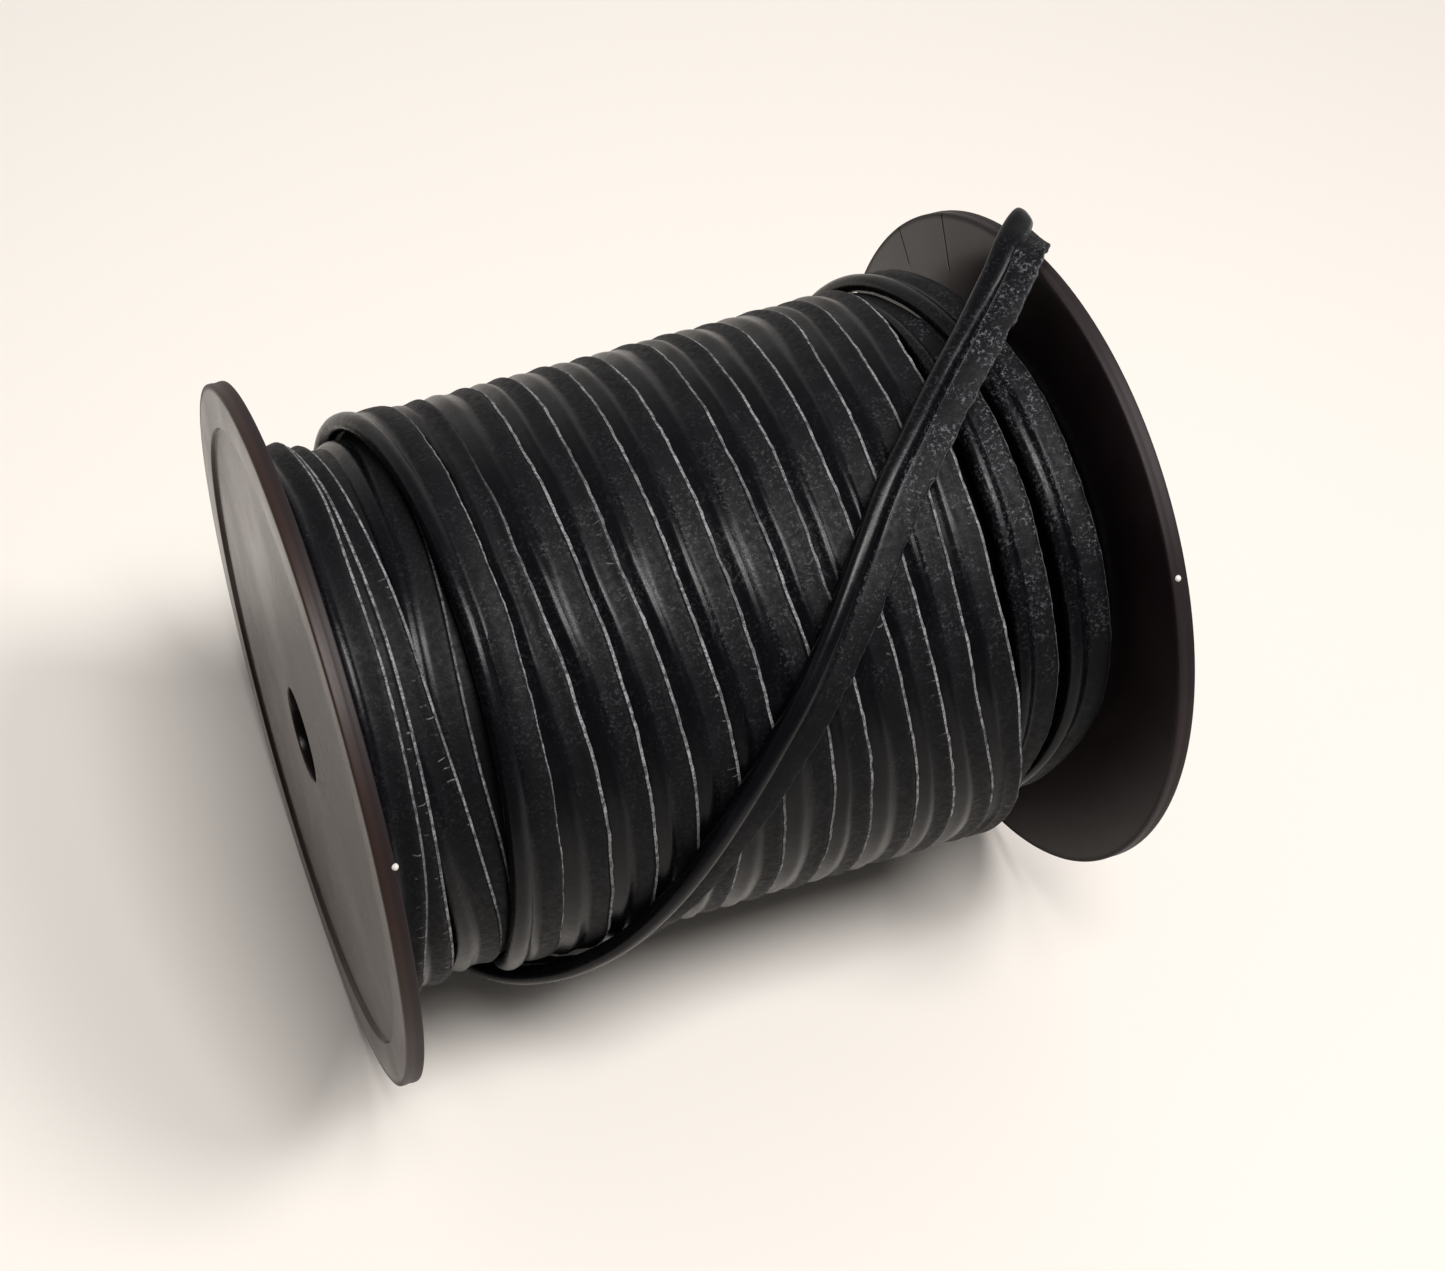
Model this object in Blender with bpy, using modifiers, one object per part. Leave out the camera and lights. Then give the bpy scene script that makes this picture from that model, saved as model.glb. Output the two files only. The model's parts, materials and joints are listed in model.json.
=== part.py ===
"""A plastic reel wound with leather piping, lying on its side.

Run with: blender --background --python part.py

Units are metres, +Z is up. The reel's axis runs along X and its rims stand on z = 0,
so the origin is at the middle of the footprint. The reel is three mouldings: two
flanges, each with a collar that plugs into the barrel and a hub round the spindle
bore, and the barrel between them. The piping is one leather strip folded round a
filler cord. Its lower layers and its top layer are turned solids; its free tail
crosses the top layer and hooks over the right rim.
"""
import math

import bmesh
import bpy
from mathutils import Vector

# Reel
FLANGE_RADIUS = 0.080
FLANGE_THICKNESS = 0.0038
REEL_WIDTH = 0.177
LABEL_RECESS_RADIUS = 0.070
LABEL_RECESS_DEPTH = 0.0010
RECESS_SLOPE = 0.0004
RIM_CHAMFER = 0.0006
BORE_RADIUS = 0.011
HUB_WALL = 0.0028
HUB_LENGTH = 0.012
BARREL_RADIUS = 0.036
BARREL_WALL = 0.0025
COLLAR_WALL = 0.0022
COLLAR_LENGTH = 0.014
GAP = 0.0003
SEGMENTS = 60

# Wound piping, which lies a little off the reel's axis: upwards and to the back
WINDING_SHIFT = (0.0, 0.00102, 0.00064)
LOWER_LAYERS_BORE = 0.0376
LOWER_LAYERS_RADIUS = 0.0616
LOWER_TAPER = ((0.0600, 0.0616), (0.0740, 0.0570))
LOWER_END_RADIUS = 0.0500
TOP_LAYER_PROFILE = ((-0.0560, 0.0634), (-0.0545, 0.0650), (0.0, 0.0658),
                     (0.0400, 0.0666), (0.0700, 0.0674), (0.0780, 0.0664), (0.0800, 0.0645))

# Piping section: a bead round the filler cord, and a flap of two glued plies
PIPING_WIDTH = 0.0108
BEAD_RADIUS = 0.0022
CHANNEL_RADIUS = 0.0014
FILLER_RADIUS = 0.0011
FLAP_TOP = 0.0001
FLAP_BOTTOM = -0.0016
BEAD_CENTRE = -PIPING_WIDTH / 2 + BEAD_RADIUS
FLAP_EDGE = PIPING_WIDTH / 2
BEAD_ARC = (15, 315)
BEAD_ARC_POINTS = 11

# The tail's route: along the axis (mm), angle up from the front (degrees), distance
# from the axis (mm), and how far its flat side has turned from the reel's radius
# towards the end face (degrees).
TAIL_ROUTE = (
    (-62.3, -82.0, 64.3, 0),
    (-61.6, -71.5, 64.8, 0),
    (-59.8, -61.0, 66.2, 0),
    (-56.8, -51.5, 66.5, 0),
    (-52.6, -42.0, 66.5, 0),
    (-47.0, -32.5, 66.5, 0),
    (-40.4, -23.0, 66.6, 0),
    (-32.6, -11.5, 66.8, 0),
    (-24.8, 0.0, 67.0, 0),
    (-17.2, 10.5, 67.3, 0),
    (-9.4, 20.5, 67.6, 0),
    (-0.6, 30.5, 67.9, 0),
    (8.4, 40.0, 68.3, 0),
    (17.4, 50.0, 68.7, 0),
    (26.4, 60.0, 69.1, 0),
    (36.2, 70.0, 69.5, 0),
    (46.6, 78.5, 70.2, 0),
    (56.2, 86.0, 71.4, 0),
    (64.6, 91.8, 73.8, 0),
    (73.0, 97.3, 77.2, 0),
    (78.8, 100.8, 80.5, 0),
    (83.1, 103.7, 83.1, 0),
    (87.1, 106.4, 83.1, 24),
    (90.4, 109.0, 81.9, 58),
    (91.5, 111.2, 78.6, 80),
    (91.4, 113.0, 74.6, 88),
)
TAIL_STEP = 0.005

AXIS_HEIGHT = FLANGE_RADIUS * math.cos(math.pi / SEGMENTS)
INNER_FACE = REEL_WIDTH / 2 - FLANGE_THICKNESS


def clear_scene():
    """Remove every object and collection that the file opened with."""
    for obj in list(bpy.data.objects):
        bpy.data.objects.remove(obj, do_unlink=True)
    for collection in list(bpy.data.collections):
        bpy.data.collections.remove(collection)


def make_material(name, colour, roughness):
    """A Principled material of one colour."""
    material = bpy.data.materials.new(name)
    material.use_nodes = True
    shader = material.node_tree.nodes["Principled BSDF"]
    shader.inputs["Base Color"].default_value = (*colour, 1.0)
    shader.inputs["Roughness"].default_value = roughness
    shader.inputs["Metallic"].default_value = 0.0
    return material


def add_object(name, mesh, material, collection):
    """Link a mesh into the reel's collection as a named piece, shaded smooth up to 30 degrees."""
    mesh.materials.append(material)
    mesh.shade_smooth()
    mesh.set_sharp_from_angle(angle=math.radians(30))
    obj = bpy.data.objects.new(name, mesh)
    collection.objects.link(obj)
    return obj


def turned(name, profile, material, collection, tilt, shift=(0.0, 0.0, 0.0)):
    """Spin a closed profile of (radius, height) points round local Z, then lay it along X.

    The profile runs down its outer side. It stands half a facet round from the vertical,
    so that every ring rests on a flat and not on an edge. shift moves it off the axis.
    """
    half_facet = math.pi / SEGMENTS
    mesh = bpy.data.meshes.new(name)
    points = [(r * math.cos(half_facet), r * math.sin(half_facet), z) for r, z in profile]
    count = len(points)
    mesh.from_pydata(points, [(i, (i + 1) % count) for i in range(count)], [])
    obj = add_object(name, mesh, material, collection)
    screw = obj.modifiers.new("Turn", "SCREW")
    screw.steps = screw.render_steps = SEGMENTS
    screw.use_merge_vertices = True
    screw.merge_threshold = 0.00001
    obj.location = Vector((0.0, 0.0, AXIS_HEIGHT)) + Vector(shift)
    obj.rotation_euler = (0.0, tilt, 0.0)
    return obj


def make_flange(name, side, material, collection):
    """One flange with its label recess, rim, plug collar and hub. side is -1 left, 1 right."""
    outer = REEL_WIDTH / 2
    floor = outer - LABEL_RECESS_DEPTH
    collar_outer = BARREL_RADIUS - BARREL_WALL - GAP
    profile = (
        (BORE_RADIUS, floor),
        (LABEL_RECESS_RADIUS, floor),
        (LABEL_RECESS_RADIUS + RECESS_SLOPE, outer),
        (FLANGE_RADIUS - RIM_CHAMFER, outer),
        (FLANGE_RADIUS, outer - RIM_CHAMFER),
        (FLANGE_RADIUS, INNER_FACE + RIM_CHAMFER),
        (FLANGE_RADIUS - RIM_CHAMFER, INNER_FACE),
        (collar_outer, INNER_FACE),
        (collar_outer, INNER_FACE - COLLAR_LENGTH),
        (collar_outer - COLLAR_WALL, INNER_FACE - COLLAR_LENGTH),
        (collar_outer - COLLAR_WALL, INNER_FACE),
        (BORE_RADIUS + HUB_WALL, INNER_FACE),
        (BORE_RADIUS + HUB_WALL, INNER_FACE - HUB_LENGTH),
        (BORE_RADIUS, INNER_FACE - HUB_LENGTH),
    )
    turned(name, profile, material, collection, side * math.pi / 2)


def make_ring(name, inner, outer_profile, material, collection, shift=(0.0, 0.0, 0.0)):
    """A turned sleeve: a plain bore and an outer profile of (along the axis, radius) points."""
    downwards = sorted(outer_profile, reverse=True)
    profile = [(r, x) for x, r in downwards]
    profile += [(inner, downwards[-1][0]), (inner, downwards[0][0])]
    turned(name, profile, material, collection, math.pi / 2, shift)


def radial(angle):
    """Unit vector from the reel's axis at an angle up from the front (-Y)."""
    return Vector((0.0, -math.cos(angle), math.sin(angle)))


def route_point(row):
    """Position and outward direction of one row of TAIL_ROUTE."""
    along, angle, distance, turn = row
    out = radial(math.radians(angle))
    place = Vector((along / 1000, 0.0, AXIS_HEIGHT)) + out * (distance / 1000)
    turn = math.radians(turn)
    facing = out * math.cos(turn) + Vector((math.sin(turn), 0.0, 0.0))
    return place, facing


def smooth_route(rows):
    """Catmull-Rom through the rows, sampled about every TAIL_STEP."""
    knots = [route_point(row) for row in rows]
    samples = []
    for i in range(len(knots) - 1):
        four = [knots[max(0, min(len(knots) - 1, i + k))] for k in (-1, 0, 1, 2)]
        pieces = max(1, round((four[2][0] - four[1][0]).length / TAIL_STEP))
        for j in range(pieces):
            t = j / pieces
            weights = (
                (-t + 2 * t * t - t ** 3) / 2,
                (2 - 5 * t * t + 3 * t ** 3) / 2,
                (t + 4 * t * t - 3 * t ** 3) / 2,
                (-t * t + t ** 3) / 2,
            )
            samples.append(tuple(
                sum((w * knot[part] for w, knot in zip(weights, four)), Vector())
                for part in (0, 1)
            ))
    samples.append(knots[-1])
    return samples


def route_frames(samples):
    """Position, width direction (towards the flap) and outward normal at each sample."""
    frames = []
    for i, (place, facing) in enumerate(samples):
        before = samples[max(0, i - 1)][0]
        after = samples[min(len(samples) - 1, i + 1)][0]
        tangent = (after - before).normalized()
        normal = (facing - tangent * facing.dot(tangent)).normalized()
        frames.append((place, tangent.cross(normal), normal))
    return frames


def cover_section():
    """Outer outline of the leather, and the channel's circle with as many points."""
    first, last = (math.radians(a) for a in BEAD_ARC)
    arc = [first + (last - first) * i / (BEAD_ARC_POINTS - 1) for i in range(BEAD_ARC_POINTS)]
    outline = [
        (BEAD_CENTRE + BEAD_RADIUS * math.cos(a), BEAD_RADIUS * math.sin(a)) for a in arc
    ]
    flap_start = BEAD_CENTRE + 2 * BEAD_RADIUS
    flap_across = [flap_start, (flap_start + FLAP_EDGE) / 2, FLAP_EDGE]
    outline += [(u, FLAP_BOTTOM) for u in flap_across]
    outline += [(u, FLAP_TOP) for u in reversed(flap_across)]
    flap_points = 2 * len(flap_across)
    rest = first + 2 * math.pi - last
    arc += [last + rest * (i + 1) / (flap_points + 1) for i in range(flap_points)]
    channel = [
        (BEAD_CENTRE + CHANNEL_RADIUS * math.cos(a), CHANNEL_RADIUS * math.sin(a)) for a in arc
    ]
    return outline, channel


def swept_rings(builder, frames, section):
    """One ring of vertices per frame, placed from the section's (across, up) points."""
    return [
        [builder.verts.new(place + across * u + up * v) for u, v in section]
        for place, across, up in frames
    ]


def skin(builder, rings, outward):
    """Quads between neighbouring rings, facing out of the section or into its channel."""
    count = len(rings[0])
    for near, far in zip(rings, rings[1:]):
        for i in range(count):
            quad = [near[i], near[(i + 1) % count], far[(i + 1) % count], far[i]]
            builder.faces.new(quad if outward else quad[::-1])


def make_tail_cover(frames, material, collection):
    """The leather of the tail: a swept outline with the filler's channel right through."""
    outline, channel = cover_section()
    builder = bmesh.new()
    outer = swept_rings(builder, frames, outline)
    inner = swept_rings(builder, frames, channel)
    skin(builder, outer, True)
    skin(builder, inner, False)
    count = len(outline)
    for i in range(count):
        k = (i + 1) % count
        builder.faces.new((outer[0][k], outer[0][i], inner[0][i], inner[0][k]))
        builder.faces.new((outer[-1][i], outer[-1][k], inner[-1][k], inner[-1][i]))
    bmesh.ops.recalc_face_normals(builder, faces=builder.faces)
    mesh = bpy.data.meshes.new("piping_tail_cover")
    builder.to_mesh(mesh)
    builder.free()
    add_object("piping_tail_cover", mesh, material, collection)


def make_tail_filler(frames, material, collection):
    """The cord inside the tail's bead, a POLY curve with a round bevel."""
    curve = bpy.data.curves.new("piping_tail_filler", "CURVE")
    curve.dimensions = "3D"
    curve.bevel_depth = FILLER_RADIUS
    curve.bevel_resolution = 2
    curve.use_fill_caps = True
    spline = curve.splines.new("POLY")
    spline.points.add(len(frames) - 1)
    for point, (place, across, up) in zip(spline.points, frames):
        point.co = (*(place + across * BEAD_CENTRE), 1.0)
    curve.materials.append(material)
    obj = bpy.data.objects.new("piping_tail_filler", curve)
    collection.objects.link(obj)


def main():
    clear_scene()
    collection = bpy.data.collections.new("piping_reel")
    bpy.context.scene.collection.children.link(collection)

    make_flange("left_flange", -1, make_material("left_flange", (0.030, 0.024, 0.027), 0.42),
                collection)
    make_flange("right_flange", 1, make_material("right_flange", (0.030, 0.024, 0.027), 0.42),
                collection)

    barrel_end = INNER_FACE - GAP
    make_ring("barrel", BARREL_RADIUS - BARREL_WALL,
              ((-barrel_end, BARREL_RADIUS), (barrel_end, BARREL_RADIUS)),
              make_material("barrel", (0.030, 0.024, 0.027), 0.45), collection)

    make_ring("piping_lower_layers", LOWER_LAYERS_BORE,
              ((-barrel_end, LOWER_LAYERS_RADIUS), *LOWER_TAPER,
               (barrel_end, LOWER_END_RADIUS)),
              make_material("piping_lower_layers", (0.014, 0.015, 0.016), 0.5), collection,
              WINDING_SHIFT)
    make_ring("piping_top_layer", LOWER_LAYERS_RADIUS + GAP, TOP_LAYER_PROFILE,
              make_material("piping_top_layer", (0.014, 0.015, 0.016), 0.5), collection,
              WINDING_SHIFT)

    frames = route_frames(smooth_route(TAIL_ROUTE))
    make_tail_cover(frames, make_material("piping_tail_cover", (0.014, 0.015, 0.016), 0.48),
                    collection)
    make_tail_filler(frames, make_material("piping_tail_filler", (0.30, 0.28, 0.24), 0.8),
                     collection)


main()
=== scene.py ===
"""Looks of a plastic reel wound with black leather piping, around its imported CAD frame.

Metres, +Z up. The reel's axis runs along X. An angle round the reel is measured up from
the front (-Y), so 90 degrees is the top and 180 the back. Lengths in the tables are in
millimetres and angles in degrees.
"""

import json
import math

import bmesh
import bpy
import numpy as np
from mathutils import Matrix, Vector

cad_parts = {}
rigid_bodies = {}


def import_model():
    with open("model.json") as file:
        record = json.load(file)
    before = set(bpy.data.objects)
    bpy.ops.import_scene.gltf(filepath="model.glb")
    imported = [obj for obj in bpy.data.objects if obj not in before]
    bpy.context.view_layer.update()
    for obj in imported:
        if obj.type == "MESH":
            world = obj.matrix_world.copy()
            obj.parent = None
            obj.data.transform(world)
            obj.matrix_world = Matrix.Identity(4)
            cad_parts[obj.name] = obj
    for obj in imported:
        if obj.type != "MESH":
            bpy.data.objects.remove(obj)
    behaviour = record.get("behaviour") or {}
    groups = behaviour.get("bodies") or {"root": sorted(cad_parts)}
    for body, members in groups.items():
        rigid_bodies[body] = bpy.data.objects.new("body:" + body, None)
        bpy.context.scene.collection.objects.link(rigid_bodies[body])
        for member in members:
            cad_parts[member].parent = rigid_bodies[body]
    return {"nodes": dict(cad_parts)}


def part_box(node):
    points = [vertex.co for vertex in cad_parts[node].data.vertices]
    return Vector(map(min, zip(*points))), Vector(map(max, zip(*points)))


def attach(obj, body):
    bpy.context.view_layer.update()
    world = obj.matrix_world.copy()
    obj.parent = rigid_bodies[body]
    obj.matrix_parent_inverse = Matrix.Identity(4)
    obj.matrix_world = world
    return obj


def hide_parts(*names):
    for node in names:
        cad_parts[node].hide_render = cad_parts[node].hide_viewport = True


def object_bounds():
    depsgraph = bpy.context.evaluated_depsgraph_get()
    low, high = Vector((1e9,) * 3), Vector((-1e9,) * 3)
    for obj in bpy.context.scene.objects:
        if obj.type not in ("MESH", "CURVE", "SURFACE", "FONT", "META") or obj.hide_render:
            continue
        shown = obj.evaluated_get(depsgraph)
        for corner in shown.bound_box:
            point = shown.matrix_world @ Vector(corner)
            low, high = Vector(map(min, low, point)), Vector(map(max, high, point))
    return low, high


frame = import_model()
CAD_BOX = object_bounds()

MM = 0.001
ROOT = bpy.context.scene.collection.objects
LEFT_LOW, LEFT_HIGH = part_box("left_flange")
AXIS = (LEFT_LOW.z + LEFT_HIGH.z) / 2

# ---------------------------------------------------------------- camera and light
CAMERA_PLACE = (-0.1358, -0.2475, 0.4761)
CAMERA_AZIMUTH, CAMERA_ELEVATION, CAMERA_ROLL = -23.81, 54.9, 4.42
CAMERA_LENS, CAMERA_SHIFT, SENSOR_WIDTH = 52.06, 0.1125, 36.0
LAMP_DISTANCE = 1.3
LAMP_COLOUR = (1.0, 0.985, 0.965)
# Name, direction from the reel, side of the square in metres, power in watts.
LAMPS = (("overhead", (0.03, -0.26, 1.0), 0.46, 10.2), ("key", (0.50, -0.26, 1.0), 0.40, 6.9))
SKY_LOW, SKY_HIGH = (1.0, 0.98, 0.955), (0.34, 0.335, 0.33)
# The sky goes from its low to its high colour between these parts of straight up, and it is
# weaker in front: from how far forward, to how far back, and the share left in front.
SKY_CHANGE = (0.0, 0.75)
SKY_FRONT = (-0.3, 0.6, 0.25)
SKY_STRENGTH = 0.80
FLOOR_HALF = 3.0            # metres, as is the next
FLOOR_DROP = 0.0002

# ---------------------------------------------------------------- reel, as in the CAD
FLANGE_RADIUS = 80.0
FLANGE_THICKNESS = 3.8
REEL_WIDTH = 177.0
RECESS_RADIUS = 70.0
RECESS_DEPTH = 1.0
RECESS_SLOPE = 0.4
RIM_DIP, RIM_DIP_HALF = 0.14, 0.8
BORE_RADIUS = 11.0
HUB_WALL = 2.8
HUB_LENGTH = 12.0
COLLAR_OUTER = 33.2
COLLAR_WALL = 2.2
COLLAR_LENGTH = 14.0
INNER_FACE = REEL_WIDTH / 2 - FLANGE_THICKNESS
FLANGE_GAP = 0.3
TURNED_STEPS = 240
# Corner radii of the flange's outline, in the order of its points.
CORNERS = (0.5, 0.25, 0.25, 0.7, 0.3, 0.5, 0.3, 0.55, 0, 0.2, 0.2, 0.3, 0.3, 0.3, 0.3)
PIP_RADIUS = 0.75
# Stubs on the rims' inner edges, coloured pale as a painted glint, by side: along the axis, angle,
# distance.
PIPS = {-1: (84.9, 37.0, 79.75), 1: (86.2, 45.4, 79.75)}
# Fine radial marks inside the right flange: angle, and how far out they start.
MARKS = ((131.4, 66.0), (148.6, 69.0))

# ---------------------------------------------------------------- winding
RING_STEP = 1.4             # degrees between two sections of a turn
EASE_REACH, EASE_WIDTH = 30, 10.0   # sections over which a jump between turns is eased
EDGE_ROUNDING, LEFT_ROUNDING, TOP_ROUNDING, LOWER_ROUNDING = 6.0, 5.0, 6.0, 7.0     # degrees
# Unevenness along the strip: how much, and how long its bumps are.
EDGE_WAVE, TOP_WAVE, BEAD_WAVE, FLAP_WAVE = (0.16, 28), (0.12, 120), (0.16, 90), (0.20, 70)
RAGGED_WAVES = ((0.10, 5.5), (0.07, 3.4))
LOWER_WOBBLE = 0.12
# Pale specks on the side that faces up and forwards, partly scuffs and partly a painted sheen
# round where the highlight falls: the least, the most, middle angle, spread, and the share of
# them at the reel's left end. The loose turns have rather more.
SCUFF_AND_SHEEN_BAND, SCUFF_SHEEN_LEFT_SHARE = (0.10, 0.55, 66, 20.0), 0.4
LOOSE_SCUFF_AND_SHEEN = (1.5, 72, 30.0)
LOWER_SCUFFS = 0.1
BEAD_SCUFF_SHEEN_SHARE = 0.35     # how much of a turn's scuffs and painted sheen its bead gets
WOUND_HALF = 60             # half the length of the top layer along the reel
FREE_FROM = 0.02            # a turn counts as loose from this share on
TURN_ANGLES = (-2, 13, 28, 43, 58, 73, 103, 128)
# Where each turn's raw edge lies along the axis at those angles, in the order that the
# turns were wound: from the right flange to the left one.
RAW_EDGES = (
    (73.0, 77.5, 78.3, 78.7, 77.6, 77.7, 75.0, 72.0),
    (61.5, 64.5, 65.8, 65.0, 65.0, 65.2, 64.5, 62.5),
    (59.6, 56.5, 55.0, 53.0, 52.5, 52.5, 55.3, 58.4),
    (53.4, 49.3, 45.5, 44.2, 44.0, 44.6, 45.5, 49.0),
    (43.4, 40.5, 37.8, 35.5, 34.6, 34.7, 36.5, 40.9),
    (34.0, 32.1, 30.2, 28.0, 26.2, 25.4, 26.5, 28.8),
    (22.8, 21.5, 20.3, 18.1, 16.7, 16.4, 16.5, 17.8),
    (12.8, 12.8, 12.1, 10.5, 8.6, 7.6, 7.4, 9.0),
    (2.1, 1.5, 0.5, -0.8, -2.2, -3.4, -3.5, -2.9),
    (-8.8, -8.4, -8.6, -10.0, -12.0, -13.0, -13.1, -12.3),
    (-18.6, -18.3, -18.1, -19.7, -21.6, -23.6, -23.5, -22.6),
    (-27.5, -27.7, -27.9, -28.9, -30.1, -31.4, -32.5, -31.4),
    (-37.3, -37.6, -37.9, -38.9, -40.6, -42.0, -43.1, -42.6),
    (-48.4, -48.3, -48.1, -48.2, -48.2, -48.4, -49.6, -50.6),
)
FIRST_EDGE = 68.0
LAST_EDGES = ((145, -52.6), (180, -55.8), (230, -56.7), (270, -56.9))
TURNS = len(RAW_EDGES)
# How far the winding stands from the axis along the reel, read a little in from the raw edge.
ENVELOPE_INSET = 3
ENVELOPE = ((-60, 64.9), (-54, 65.0), (0, 65.8), (40, 66.6), (70, 67.4))
# The two loose turns at the right and the raised last one at the left have rows of their
# own: angle, left edge, distance from the axis of the highest point.
LOOSE_TURNS = {
    0: ((-90, 58.0, 58.5), (-20, 61.5, 60.0), (0, 64.5, 62.2), (8, 67.3, 64.0), (18, 69.0, 65.6),
        (28, 69.0, 66.4), (43, 68.0, 67.0), (58, 67.3, 67.4), (73, 66.9, 67.8), (88, 66.2, 68.4),
        (103, 64.6, 69.2), (118, 62.3, 70.0), (128, 61.0, 70.2), (150, 59.5, 69.6),
        (200, 57.0, 67.6), (270, 53.0, 64.5)),
    1: ((-90, 53.0, 63.2), (-10, 52.5, 63.2), (0, 53.5, 64.2), (13, 54.5, 65.6), (28, 55.8, 66.4),
        (43, 55.7, 67.0), (58, 55.4, 67.2), (73, 55.4, 67.2), (88, 55.8, 67.2), (103, 56.5, 66.8),
        (128, 57.0, 66.2), (180, 57.0, 66.2), (270, 54.5, 66.0)),
    TURNS - 1: ((-90, -55.2, 64.8), (-66, -55.4, 64.8), (-48, -58.4, 65.0), (-20, -60.2, 65.1),
                (-2, -60.8, 65.2), (28, -58.8, 65.4), (58, -58.2, 65.5), (88, -58.6, 65.8),
                (103, -59.6, 66.1), (113, -60.8, 66.4), (123, -62.6, 66.7), (135, -64.0, 66.7),
                (180, -66.2, 66.6), (230, -67.3, 66.5), (270, -67.7, 66.4)),
}
# Turns whose raw edge shows tool ticks, and where: turn, from and to what angle.
TICKED = ((9, 26, 48), (8, 44, 66), (4, 18, 52), (5, 26, 50), (3, 56, 72), (2, -24, 2),
          (2, 60, 80), (7, 30, 40), (6, 62, 84), (10, 60, 90))
# Stretches where the raw edge is hidden or dark: turn, from, to, how much of it shows.
DULL_EDGES = ((12, 84, 136, 0.0), (0, -90, 270, 0.25), (1, -90, 270, 0.45), (10, 84, 102, 0.35))
# The turns of the lower layers that show at the left: highest point, then raw edge by angle.
LOWER_TURNS = (
    (61.0, ((-60, -58.0), (20, -58.4), (34, -60.4), (46, -61.4), (58, -60.4), (73, -59.0),
            (90, -57.8), (130, -57.0), (180, -59.0), (270, -61.0))),
    (61.9, ((-60, -59.5), (0, -60.8), (13, -62.4), (28, -64.6), (43, -66.4), (58, -67.2),
            (73, -67.8), (103, -69.4), (118, -70.8), (135, -71.5), (200, -69.0), (270, -62.0))),
    (62.9, ((-60, -72.0), (0, -72.0), (13, -72.7), (28, -73.2), (43, -72.6), (58, -72.4),
            (88, -72.8), (103, -73.2), (118, -74.6), (150, -75.0), (270, -72.5))),
    (63.8, ((-60, -78.5), (0, -78.6), (13, -77.2), (28, -76.0), (43, -75.3), (58, -75.0),
            (88, -74.9), (103, -74.4), (118, -75.4), (150, -76.0), (270, -77.5))),
)
LOWER_WIDTHS = (10.4, 10.4, 10.4, 9.0)
LOWER_TICKS = {1: (30, 82), 2: (-20, 60), 3: (-20, 30)}     # which, from and to what angle
LOWER_TICK_STRENGTH = 2.0
# The ends of the lower turns that show past the loose turns: highest point, raw edge.
LOWER_END_TURNS = ((57.2, 75.5), (54.6, 83.9))
LOWER_END_WIDTH = 10.4
LOWER_PROFILE = ((-84.4, 59.4), (58.0, 59.4), (66.0, 57.6), (74.0, 55.6), (79.0, 52.6),
                 (84.4, 49.6))
LOWER_BORE = 37.6
CORE_STEP = 6.0
WINDING_SHIFT = np.array([0.0, 1.02, 0.64]) * MM    # off the reel's axis

# Section of one turn: measured from its left or right edge, how far across and how high over
# the bead's top. It runs from the bead over the flap to the raw edge and back underneath. One
# section lies on its neighbours, the other stands free.
SECTION_COVERED = (
    ("L", -1.30, -2.20), ("L", -0.80, -1.60), ("L", -0.30, -1.25), ("L", 0.35, -1.00),
    ("L", 1.00, -0.72), ("L", 1.60, -0.40), ("L", 2.20, -0.04), ("L", 2.80, 0.10),
    ("L", 3.40, -0.02), ("L", 4.05, -0.24), ("L", 4.80, -0.30),
    ("R", -3.90, -0.22), ("R", -3.15, -0.08), ("R", -2.45, 0.08), ("R", -1.80, 0.26),
    ("R", -1.35, 0.32), ("R", -1.02, 0.20), ("R", -0.88, -0.18), ("R", -0.76, 0.00),
    ("R", -0.36, -0.08), ("R", 0.0, -0.42),
    ("R", -0.10, -0.90), ("R", -0.90, -1.60), ("R", -1.60, -2.60), ("R", -4.00, -2.80),
    ("L", 2.40, -2.80), ("L", -0.90, -2.60),
)
SECTION_OPEN = (
    ("L", 1.30, -4.05), ("L", 0.35, -3.20), ("L", 0.00, -2.10), ("L", 0.30, -1.05),
    ("L", 0.95, -0.36), ("L", 1.60, -0.07), ("L", 2.30, 0.02), ("L", 3.10, -0.22),
    ("L", 3.75, -0.80), ("L", 4.30, -1.22), ("L", 5.00, -1.12),
    ("R", -4.00, -0.86), ("R", -3.25, -0.70), ("R", -2.50, -0.60), ("R", -1.80, -0.58),
    ("R", -1.25, -0.60), ("R", -0.70, -0.66), ("R", -0.52, -0.80), ("R", -0.30, -0.86),
    ("R", -0.06, -1.10), ("R", 0.0, -1.50),
    ("R", -0.10, -1.90), ("R", -0.90, -2.15), ("R", -1.60, -2.20), ("R", -4.00, -2.40),
    ("L", 3.90, -3.30), ("L", 2.40, -4.20),
)
# Which of the section's points are which.
BEAD_POINTS, BEAD_SHARES = slice(4, 9), (0.5, 0.9, 1.0, 0.9, 0.5)
FLAP_POINTS, FLAP_SHARES = slice(10, 16), (0.2, 0.6, 1.0, 1.0, 0.8, 0.4)
RAGGED_POINTS, RAGGED_SHARES = slice(17, 21), (0.4, 0.5, 1.0, 1.0)
SCUFF_SHEEN_POINTS = slice(9, 18)
RAW_POINTS = slice(18, 21)
FLAP_OVER_BEAD = 0.5
USUAL_WIDTH = 9.6
WIDTH_RANGE = (0.55, 1.5)
OPEN_SHARE_BELOW = 0.35     # how far the lower turns' section is the free one
RAW_SHOWN = 0.95            # how raw the raw edge is
TOP_MEAN, LOWER_MEAN = 65.0, 62.0   # mean distances from the axis

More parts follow.
